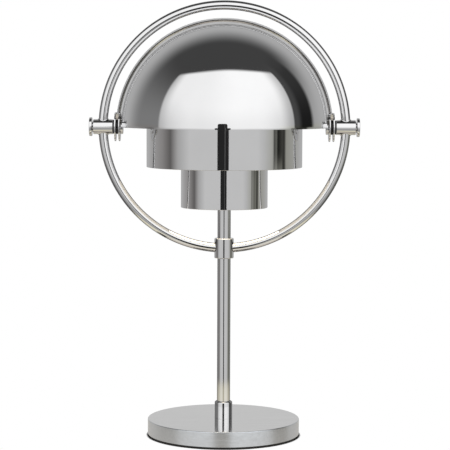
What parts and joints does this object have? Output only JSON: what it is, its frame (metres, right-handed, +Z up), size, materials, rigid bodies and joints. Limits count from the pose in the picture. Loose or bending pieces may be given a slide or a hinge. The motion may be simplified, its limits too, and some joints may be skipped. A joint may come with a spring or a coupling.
{
  "type": "cordless table lamp",
  "caption": "Chromed cordless table lamp: round base, stem, upright ring, two nested quarter-sphere shades on a level axis, two open cylinders round an opal light.",
  "frame": {"origin": "on the floor, on the stem's axis, at the middle of the rubber foot", "axes": "+Z up along the stem, front of the lamp faces -Y, the shades' axis runs along X"},
  "size_m": [0.1852, 0.1465, 0.2995],
  "materials": {
    "rubber_foot": "matt black rubber",
    "brushed_chrome": "fine straight brushing under clear polish",
    "chrome": "polished chrome plate",
    "bare_steel": "plain turned steel",
    "zinc_steel": "zinc-plated fasteners",
    "battery_wrap": "shrink-wrapped cell",
    "circuit_board": "solder-masked board",
    "lamp_board": "white lamp board",
    "black_plastic": "moulded black plastic",
    "wire_jacket": "flexible lead jacket",
    "opal": "satin opal",
    "cast_alloy": "bead-blasted alloy"
  },
  "bodies": {
    "stand": {"foot_pad": "rubber_foot", "base_plate": "bare_steel", "base_cover": "brushed_chrome", "ballast_ring": "bare_steel", "base_screws": "zinc_steel", "battery_pack": "battery_wrap", "control_board": "circuit_board", "charging_socket": "zinc_steel", "dimmer_switch": "black_plastic", "stem_nut": "zinc_steel", "stem_tube": "chrome", "foot_collar": "chrome", "stem_wire": "wire_jacket", "ring_collar": "chrome", "collar_grub_screw": "zinc_steel", "frame_ring": "chrome", "pivot_sleeve_right": "chrome", "pivot_sleeve_left": "chrome", "pivot_bolts": "chrome", "friction_washers": "black_plastic", "ear_spacers": "black_plastic", "pivot_nuts": "chrome", "large_cylinder": "chrome", "small_cylinder": "chrome", "head_spider": "cast_alloy", "upper_lamp_board": "lamp_board", "lower_lamp_board": "lamp_board", "upper_opal": "opal", "lower_opal": "opal"},
    "front_shade": {"inner_shade": "chrome"},
    "rear_shade": {"outer_shade": "chrome"},
    "button": {"dimmer_button": "chrome"}
  },
  "joints": [
    {"name": "inner_shade_turn", "type": "hinge", "parent": "stand", "child": "front_shade", "pos_m": [0, 0, 0.2132], "axis": [1, 0, 0], "range_deg": [-175, 85]},
    {"name": "outer_shade_turn", "type": "hinge", "parent": "stand", "child": "rear_shade", "pos_m": [0, 0, 0.2132], "axis": [1, 0, 0], "range_deg": [-85, 175]},
    {"name": "dimmer_press", "type": "slide", "parent": "stand", "child": "button", "axis": [-0.4226, -0.9063, 0], "range_m": [0, 0.0006], "stiffness_N_per_m": 900}
  ]
}
